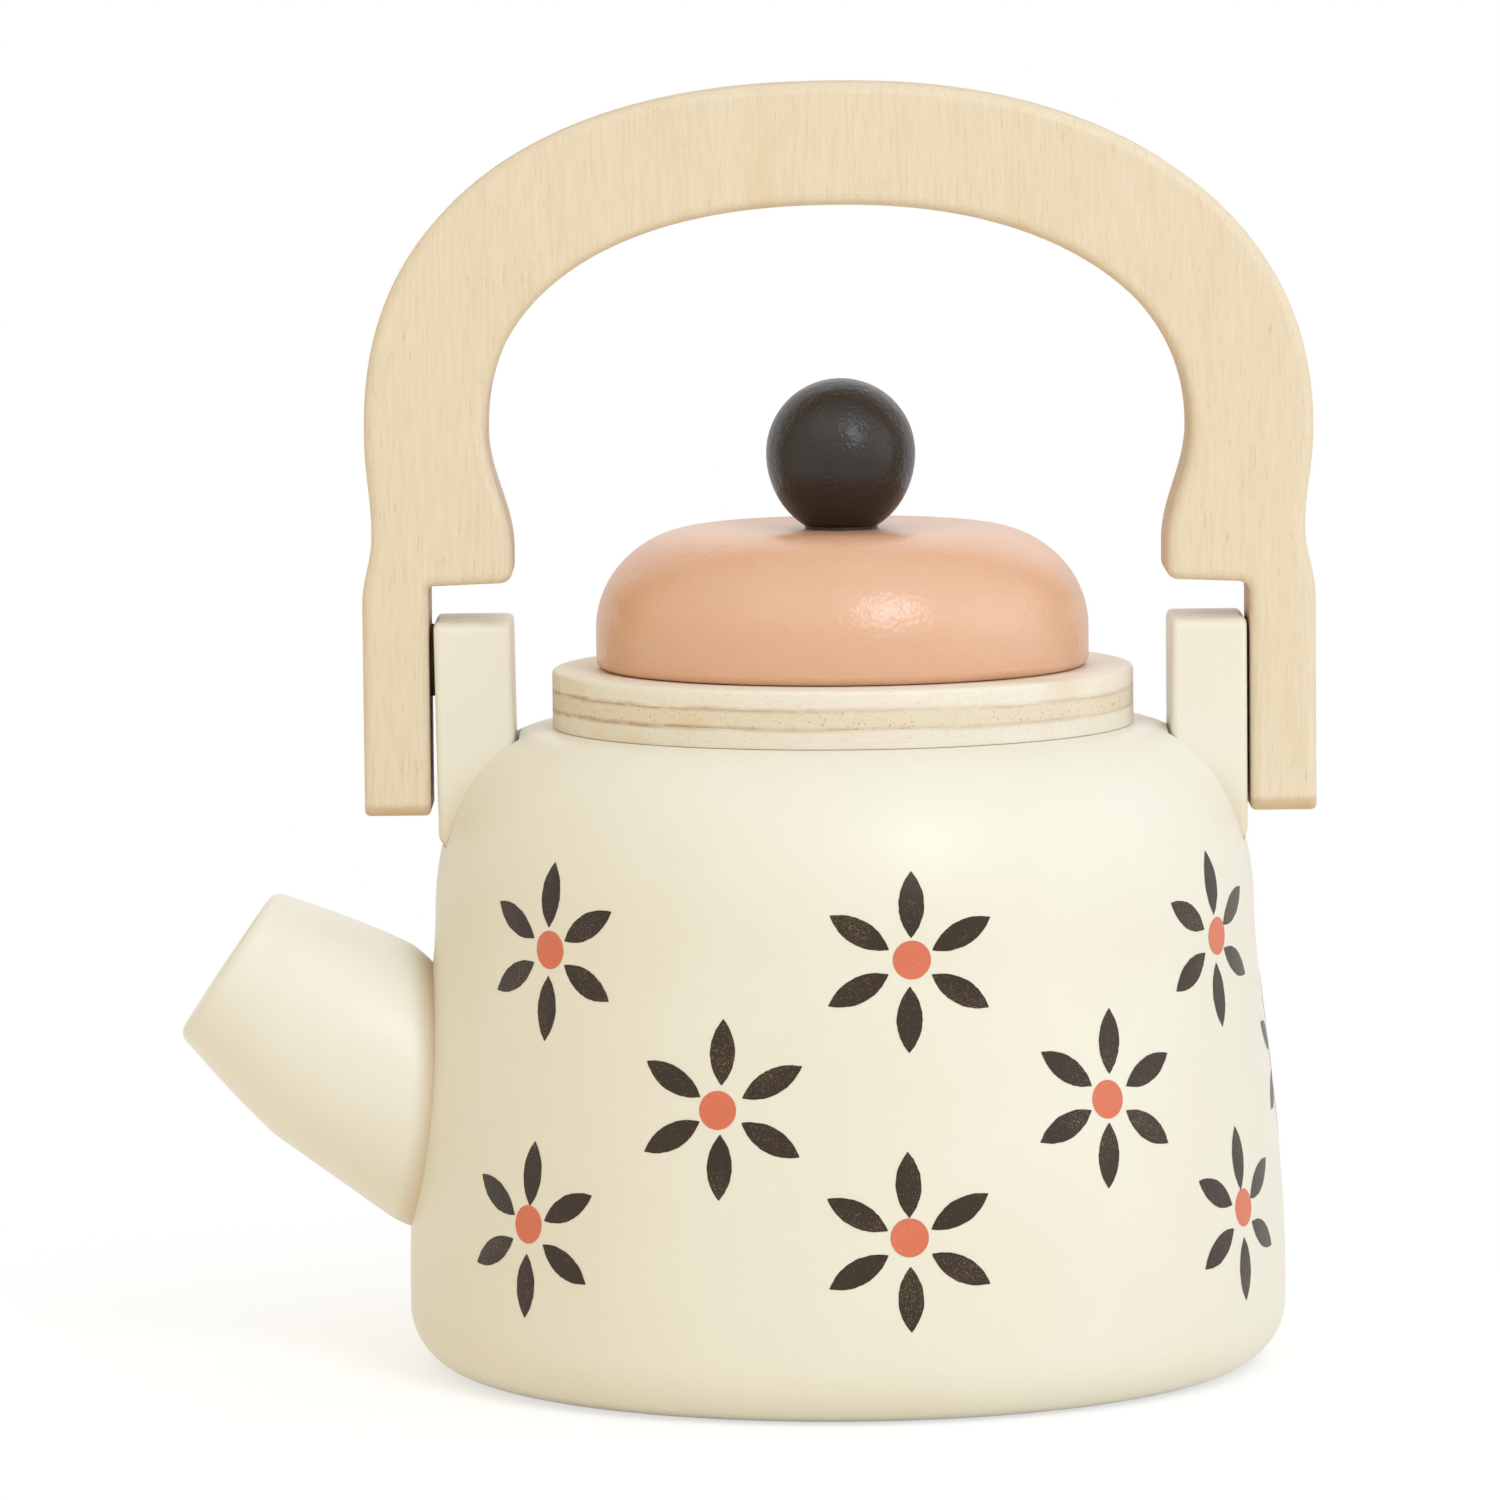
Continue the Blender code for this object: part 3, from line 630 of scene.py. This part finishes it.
# The posts' paint is browned where rubbed at the top, and low in the nook as painted shade.
post_paint = paint("post_paint", *CREAM, wear_and_shade=post_wear_and_shade)
for side, name in ((-1, "left_post"), (1, "right_post")):
    low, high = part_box(name)
    high.z -= POST_DROP[name]
    post = block(f"{name}_block", low, high)
    pick(post, "FACE", lambda face: face.normal.x * side > 0.5)
    bpy.ops.transform.translate(value=(side * POST_GROW[name], 0, 0))
    pick(post, "FACE", lambda face: face.normal.z > 0.5)
    bpy.ops.transform.translate(value=(side * POST_LEAN[name], 0, 0))
    pick(post, "EDGE", lambda edge: under_handle(edge, high.z))
    bpy.ops.mesh.bevel(offset=POST_TOP_ROUNDING, segments=7, affect="EDGES")
    pick(post, "EDGE", lambda edge: at_post_foot(edge, side, low.z))
    bpy.ops.mesh.bevel(offset=POST_FOOT_ROUNDING, segments=6, affect="EDGES")
    close_piece(post)
    apply_modifier(
        post, "BEVEL", width=POST_EDGE, segments=4, limit_method="ANGLE", angle_limit=math.radians(40),
    )
    bpy.ops.object.shade_smooth_by_angle(angle=math.radians(SHARP))
    post.data.materials.append(post_paint)
    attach(post, "kettle")
    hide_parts(name)


# Dowels: plain beech rods inside the joints, which show only where a piece is lifted away. They
# keep their CAD shapes.
beech = bare_wood("beech_dowel", hue(216, 184, 140), hue(186, 146, 100), (300, 300, 60))
for name in (
    "spout_dowel", "left_post_dowel_front", "left_post_dowel_rear",
    "right_post_dowel_front", "right_post_dowel_rear", "lid_dowel",
):
    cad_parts[name].data.materials.clear()
    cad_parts[name].data.materials.append(beech)


# Pivots: a beech pin glued in each post, on which a leg of the handle turns, with a dark fibre
# washer between the post and the leg.
PIN_EDGE, PIN_SIDES = 0.0005, 48
WASHER_EDGE, WASHER_GAP, WASHER_SIDES = 0.00005, 0.00005, 64
HANDLE_SIDE = {"left": 0.0525, "right": 0.0516}
WASHER_THICKNESS = {"left": 0.0006, "right": 0.0002}
pin_wood = bare_wood("pin_end_grain", hue(222, 192, 148), hue(190, 152, 106), (60, 900, 900))
fibre, fibre_shader, place = new_finish("fibre_washer")
mat = specks(place, (900, 900, 2400), 3)
feed(fibre_shader, "Base Color", mix(mat, hue(74, 54, 40), hue(112, 84, 62)))
feed(fibre_shader, "Roughness", 0.7 + mat * 0.2)
feed(fibre_shader, "Normal", relief(mat, BARE_DEPTH))

for side, name in ((-1, "left"), (1, "right")):
    quarter = (0, side * math.pi / 2, 0)
    low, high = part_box(f"{name}_pivot_pin")
    radius, middle, length = (high.z - low.z) / 2, (high.z + low.z) / 2, high.x - low.x
    ends = sorted((abs(low.x), abs(high.x)))
    profile = arc((radius - PIN_EDGE, PIN_EDGE), PIN_EDGE, PIN_EDGE, -90, 0, 4)
    profile += arc((radius - PIN_EDGE, length - PIN_EDGE), PIN_EDGE, PIN_EDGE, 0, 90, 4)
    pin = turn(f"{name}_pin", profile, PIN_SIDES)
    pin.rotation_euler = quarter
    pin.location = (side * ends[0], 0, middle)
    bpy.ops.object.transform_apply(location=True, rotation=True, scale=True)
    pin.data.materials.append(pin_wood)
    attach(pin, "kettle")
    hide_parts(f"{name}_pivot_pin")

    low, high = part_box(f"{name}_pivot_washer")
    outer, inner, edge = (high.z - low.z) / 2, radius + PIN_EDGE / 2, WASHER_EDGE
    thick = WASHER_THICKNESS[name]
    profile = [(inner, 0), (outer - edge, 0), (outer, edge), (outer, thick - edge), (outer - edge, thick)]
    washer = turn(f"{name}_washer", profile + [(inner, thick)], WASHER_SIDES, ring=True)
    washer.rotation_euler = quarter
    washer.location = (side * (HANDLE_SIDE[name] - WASHER_GAP - thick), 0, middle)
    bpy.ops.object.transform_apply(location=True, rotation=True, scale=True)
    washer.data.materials.append(fibre)
    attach(washer, "kettle")
    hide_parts(f"{name}_pivot_washer")


# Handle: an arch routed from one board of seven-ply birch, with a leg outside each post. Its rims
# are rounded over, and it is lacquered.
HANDLE_LOW, HANDLE_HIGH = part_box("handle")
FOOT, NOTCH, SPRING, UNDERSIDE, CROWN = HANDLE_LOW.z, 0.1005, 0.1195, 0.1483, 0.1637
WAIST_HEIGHT, WAIST_FOOT = 0.1071, 0.0981
LOBE_RISE, LOBE_TOP = 0.0003, 0.1046
RIGHT_HALF = {
    "spring": 0.0598, "waist": 0.0587, "leg": 0.0600, "leg_inner": HANDLE_SIDE["right"], "lobe": 0.0410,
    "throat": 0.0441, "fullness": 2.20, "hollow": 2.17, "drop": 0.0003, "fillet": 0.0015,
    "corner": 0.0016,
}
LEFT_HALF = {
    "spring": 0.0604, "waist": 0.0596, "leg": 0.0609, "leg_inner": HANDLE_SIDE["left"], "lobe": 0.0418,
    "throat": 0.0449, "fullness": 2.33, "hollow": 2.30, "drop": 0.0, "fillet": 0.0006,
    "corner": 0.0016,
}
RIM, FOOT_CORNER = 0.0014, 0.0007
ARCH_STEPS, UNDERSIDE_STEPS = 44, 40
# A brown band on the feet, partly end grain and partly painted shade: its height, share, wander and
# fibres.
FOOT_BROWN_RISE, FOOT_BROWN_SHARE, FOOT_BROWN_WANDER = 0.0018, 0.42, 0.0006
FOOT_BROWN_FIBRES = (900, 900, 160)
PIN_HOLE, PIN_HOLE_GAP = (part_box("left_pivot_pin")[1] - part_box("left_pivot_pin")[0]).z / 2, 0.0003
PIVOT_HEIGHT = (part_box("left_pivot_pin")[0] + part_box("left_pivot_pin")[1]).z / 2


def ease(start, end, steps):
    """Points of an S-curve that is upright at both ends."""
    shares = [step / steps for step in range(steps + 1)]
    bends = [0.5 - 0.5 * math.cos(math.pi * share) for share in shares]
    return [
        (start[0] + (end[0] - start[0]) * bend, start[1] + (end[1] - start[1]) * share)
        for bend, share in zip(bends, shares)
    ]


def arch(half_width, top, fullness, steps):
    """Half of the arch, from its top down to the spring line."""
    power = 2 / fullness
    angles = [math.pi / 2 * (1 - step / steps) for step in range(steps + 1)]
    return [
        (half_width * abs(math.cos(angle)) ** power, SPRING + (top - SPRING) * math.sin(angle) ** power)
        for angle in angles
    ]


def half_outline(spring, waist, leg, leg_inner, lobe, throat, fullness, hollow, drop, fillet, corner):
    """Half of the board's outline, from the top of the arch round a leg to its underside."""
    notch, foot = NOTCH - drop, FOOT - drop
    half = arch(spring, CROWN, fullness, ARCH_STEPS)
    half += ease((spring, SPRING), (waist, WAIST_HEIGHT), 12)[1:]
    half += ease((waist, WAIST_HEIGHT), (leg, WAIST_FOOT), 10)[1:]
    half += [(leg, foot), (leg_inner, foot)]
    half += arc((leg_inner - fillet, notch - fillet), fillet, fillet, 0, 90, 8)
    half += arc((lobe + corner, notch + LOBE_RISE + corner), corner, corner, -90, -180, 8)
    half += ease((lobe, LOBE_TOP), (throat, SPRING), 14)
    return half + arch(throat, UNDERSIDE, hollow, UNDERSIDE_STEPS)[-2::-1]


outline = half_outline(**RIGHT_HALF)
outline += [(-x, z) for x, z in reversed(half_outline(**LEFT_HALF)[1:-1])]

handle = open_piece("arch_handle", bpy.ops.mesh.primitive_plane_add, size=0.001)
bpy.ops.mesh.merge(type="CENTER")
bpy.ops.transform.translate(value=(outline[0][0], HANDLE_LOW.y, outline[0][1]))
for (x, z), (next_x, next_z) in zip(outline, outline[1:]):
    bpy.ops.mesh.extrude_region_move(TRANSFORM_OT_translate={"value": (next_x - x, 0, next_z - z)})
bpy.ops.mesh.select_all(action="SELECT")
bpy.ops.mesh.edge_face_add()
bpy.ops.mesh.extrude_region_move(TRANSFORM_OT_translate={"value": (0, HANDLE_HIGH.y - HANDLE_LOW.y, 0)})


def on_rim(edge):
    """Between the front or rear of the board and its sawn edge."""
    one, other = (vert.co for vert in edge.verts)
    return abs(one.y - other.y) < MERGE and any(len(face.verts) > 4 for face in edge.link_faces)


def at_foot_corner(edge):
    """Corner of a leg's foot, from front to rear."""
    return not on_rim(edge) and max(vert.co.z for vert in edge.verts) < FOOT + RIM


def foot_grain_and_shade(place):
    """Share of brown on the feet: their end grain, and painted shade on the rounding that faces down."""
    rise = axis(place, "Z") + (specks(place, FOOT_BROWN_FIBRES) - 0.5) * FOOT_BROWN_WANDER
    return (1 - ramp(rise, FOOT + FOOT_BROWN_RISE * 0.5, FOOT + FOOT_BROWN_RISE)) * FOOT_BROWN_SHARE


for share, wanted in ((1.0, on_rim), (FOOT_CORNER / RIM, at_foot_corner)):
    pick(handle, "EDGE", wanted)
    bpy.ops.transform.edge_bevelweight(value=share)
close_piece(handle)
apply_modifier(handle, "BEVEL", width=RIM, segments=6, limit_method="WEIGHT", use_clamp_overlap=False)
for side in (-1, 1):
    drill = open_piece(
        "drill", bpy.ops.mesh.primitive_cylinder_add, vertices=PIN_SIDES,
        radius=PIN_HOLE + PIN_HOLE_GAP, depth=HANDLE_HIGH.x / 2, rotation=(0, math.pi / 2, 0),
    )
    bpy.ops.object.mode_set(mode="OBJECT")
    drill.location = (side * HANDLE_HIGH.x, 0, PIVOT_HEIGHT)
    bpy.ops.object.transform_apply(location=True, rotation=True, scale=True)
    carve(handle, drill)
apply_modifier(handle, "WEIGHTED_NORMAL", keep_sharp=True)
# Its rims and sawn edges are browned, partly as painted shade, and its feet carry painted shade on their
# downward rounding besides end grain.
handle.data.materials.append(plywood(
    "handle_plywood", BIRCH, "Y", HANDLE_LOW.y, HANDLE_HIGH.y, plies=7, fibre_axis="Z", cross_axis="X",
    scorch_and_shade=0.7, sawn=foot_grain_and_shade,
))
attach(handle, "carry_handle")
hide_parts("handle")


# Lid: a turned cap with a flat top and a full round shoulder, painted peach. It lies on the collar
# on a plywood plug that drops into the bore, and a charcoal ball on a dowel is its knob.
LID_LOW, LID_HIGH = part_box("lid")
LID_EDGE, LID_SIDE, CROWN_RUN, LID_DISH, LID_DROP = 0.0012, 0.0050, 0.0139, 0.0004, 0.0003
PLUG_EDGE = 0.0008
KNOB_RADIUS, KNOB_DEPTH, KNOB_FOOT, KNOB_FOOT_HEIGHT = 0.0095, 0.0106, 0.00465, 0.0004
KNOB_SINK = 0.0010
LID_SIDES, PLUG_SIDES, KNOB_SIDES = 144, 128, 96
PEACH = (hue(228, 180, 149), hue(222, 169, 134), 0.32, 0.00007, 0.95)
CHARCOAL = (hue(38, 30, 24), hue(45, 36, 29), 0.32, 0.00009, 0.45)

radius, low, top = LID_HIGH.x, LID_LOW.z, LID_HIGH.z - LID_DROP
profile = arc((radius - LID_EDGE, low + LID_EDGE), LID_EDGE, LID_EDGE, -90, 0, 6)
profile += arc((radius - CROWN_RUN, low + LID_SIDE), CROWN_RUN, top - low - LID_SIDE, 0, 90, 24)
profile += arc((0, top), radius - CROWN_RUN, LID_DISH, -18, -80, 7)
lid = turn("lid_cap", profile, LID_SIDES)
lid.data.materials.append(paint("peach_paint", *PEACH))
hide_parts("lid")

low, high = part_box("lid_plug")
profile = arc((high.x - PLUG_EDGE, low.z + PLUG_EDGE), PLUG_EDGE, PLUG_EDGE, -90, 0, 5)
profile += [(high.x, high.z)]
plug = turn("plug_disc", profile, PLUG_SIDES)
# Its sawn edges are browned a little: burn marks and painted shade.
plug.data.materials.append(plywood(
    "plug_plywood", PALE_BIRCH, "Z", low.z, high.z, plies=5, fibre_axis="X", cross_axis="Y", scorch_and_shade=0.2,
))
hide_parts("lid_plug")

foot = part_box("lid_knob")[0].z - KNOB_SINK
cut = math.acos(KNOB_FOOT / KNOB_RADIUS)
centre = foot + KNOB_FOOT_HEIGHT + KNOB_DEPTH * math.sin(cut)
profile = [(KNOB_FOOT, foot)] + arc((0, centre), KNOB_RADIUS, KNOB_DEPTH, -math.degrees(cut), 0, 22)
profile += arc((0, centre), KNOB_RADIUS, KNOB_RADIUS, 0, 88.5, 28)[1:]
knob = turn("ball_knob", profile, KNOB_SIDES)
knob.data.materials.append(paint("charcoal_paint", *CHARCOAL))
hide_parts("lid_knob")
for piece in (lid, plug, knob):
    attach(piece, "lid_and_knob")


# Studio: a pale floor that fades into a white surround. One broad soft light stands in front, above
# and to the right, with weaker ones to the right, to the left and behind.
FLOOR_SIZE, FLOOR_ROUGHNESS, FLOOR_GLOSS = 8.0, 0.9, 0.1
FLOOR_SEEN, FLOOR_BOUNCE = (0.86, 0.86, 0.86, 1.0), (0.97, 0.92, 0.81, 1.0)
SHADOW_NEAR, SHADOW_FAR = 0.06, 0.17
SHADOW_SHARE, SHADOW_LIFT = 0.5, 0.26
WHITE = (1.0, 1.0, 1.0, 1.0)
LEFT_WALL, RIGHT_WALL = (0.58, 0.45, 0.20, 1.0), (0.47, 0.46, 0.42, 1.0)
CEILING = (0.96, 0.94, 0.90, 1.0)
LIGHT_CENTRE = Vector((0, 0, 0.08))


def looked_at(place):
    """1 for a ray from the camera, straight or by way of gloss or glass, and 0 for one that lights."""
    ray = place.node("ShaderNodeLightPath", {}, {}, "Is Camera Ray")
    for kind in ("Is Glossy Ray", "Is Transmission Ray"):
        ray = ray.math("MAXIMUM", ray, place.node("ShaderNodeLightPath", {}, {}, kind))
    return ray


floor = open_piece("floor", bpy.ops.mesh.primitive_plane_add, size=FLOOR_SIZE)
bpy.ops.mesh.subdivide(number_cuts=3)
bpy.ops.object.mode_set(mode="OBJECT")
floor_finish, floor_shader, place = new_finish("floor_sheet")
floor_shader.inputs["Roughness"].default_value = FLOOR_ROUGHNESS
floor_shader.inputs["Specular IOR Level"].default_value = FLOOR_GLOSS
away = place.node("ShaderNodeVectorMath", {"operation": "LENGTH"}, {0: place}, "Value")
white = place.node("ShaderNodeEmission", {}, {"Color": WHITE, "Strength": 1.0})
ray = looked_at(place)
glow = ray * (1 - SHADOW_SHARE * (1 - ramp(away, SHADOW_NEAR, SHADOW_FAR)))
feed(floor_shader, "Base Color", mix(ray, FLOOR_BOUNCE, FLOOR_SEEN))
lift = place.node("ShaderNodeEmission", {}, {"Color": WHITE, "Strength": ray * SHADOW_LIFT})
lit = place.node("ShaderNodeAddShader", {}, {0: Wire(place.tree, floor_shader.outputs["BSDF"]), 1: lift})
sheet = place.node("ShaderNodeMixShader", {}, {0: glow, 1: lit, 2: white})
place.tree.links.new(sheet.socket, place.tree.nodes["Material Output"].inputs["Surface"])
floor.data.materials.append(floor_finish)

world = bpy.data.worlds.new("studio")
world.use_nodes = True
bpy.context.scene.world = world
tree = world.node_tree
room = Wire(tree, tree.nodes.new("ShaderNodeTexCoord").outputs["Generated"])
walls = mix(ramp(axis(room, "X"), -0.7, 0.7), LEFT_WALL, RIGHT_WALL)
room_light = mix(ramp(axis(room, "Z"), 0.45, 1.0), walls, CEILING)
surround = mix(looked_at(room), room_light, WHITE)
tree.links.new(surround.socket, tree.nodes["Background"].inputs["Color"])
tree.nodes["Background"].inputs["Strength"].default_value = 1.0

for name, azimuth, rise, distance, width, length, power, tint in (
    ("key_light", 24, 36, 1.3, 0.36, 0.60, 5.4, (0.79, 0.89, 1.0)),
    ("right_fill", 76, 16, 1.3, 1.0, 1.0, 2.6, (0.88, 0.94, 1.0)),
    ("left_fill", -32, 42, 1.3, 1.0, 1.0, 1.5, (0.80, 0.91, 1.0)),
    ("rear_fill", 172, 34, 1.3, 1.0, 1.0, 1.0, (0.96, 0.98, 1.0)),
):
    data = bpy.data.lights.new(name, "AREA")
    data.shape, data.size, data.size_y, data.energy, data.color = "RECTANGLE", width, length, power, tint
    light = bpy.data.objects.new(name, data)
    bpy.context.scene.collection.objects.link(light)
    turned, raised = math.radians(azimuth), math.radians(rise)
    flat = math.cos(raised)
    towards = Vector((math.sin(turned) * flat, -math.cos(turned) * flat, math.sin(raised)))
    light.location = towards * distance + LIGHT_CENTRE
    light.rotation_euler = towards.to_track_quat("Z", "Y").to_euler()


# Camera: a long lens a little above the kettle and straight in front, as the photograph was taken.
SENSOR_MM, PICTURE = 36.0, 1500
FOCAL_PIXELS = 9243.4
PITCH, ROLL = math.radians(5.4584), math.radians(-0.5648)
CAMERA_PLACE = Vector((-0.01191, -1.175, 0.19091))
ahead = Vector((0, math.cos(PITCH), -math.sin(PITCH)))
level = Vector((1, 0, 0))
upright = level.cross(ahead)
right = level * math.cos(ROLL) + upright * math.sin(ROLL)
up = upright * math.cos(ROLL) - level * math.sin(ROLL)
camera_data = bpy.data.cameras.new("camera")
camera_data.sensor_width = SENSOR_MM
camera_data.lens = FOCAL_PIXELS / PICTURE * SENSOR_MM
camera = bpy.data.objects.new("camera", camera_data)
bpy.context.scene.collection.objects.link(camera)
camera.matrix_world = Matrix.Translation(CAMERA_PLACE) @ Matrix((right, up, -ahead)).transposed().to_4x4()
bpy.context.scene.camera = camera
bpy.context.scene.view_settings.view_transform = "Standard"
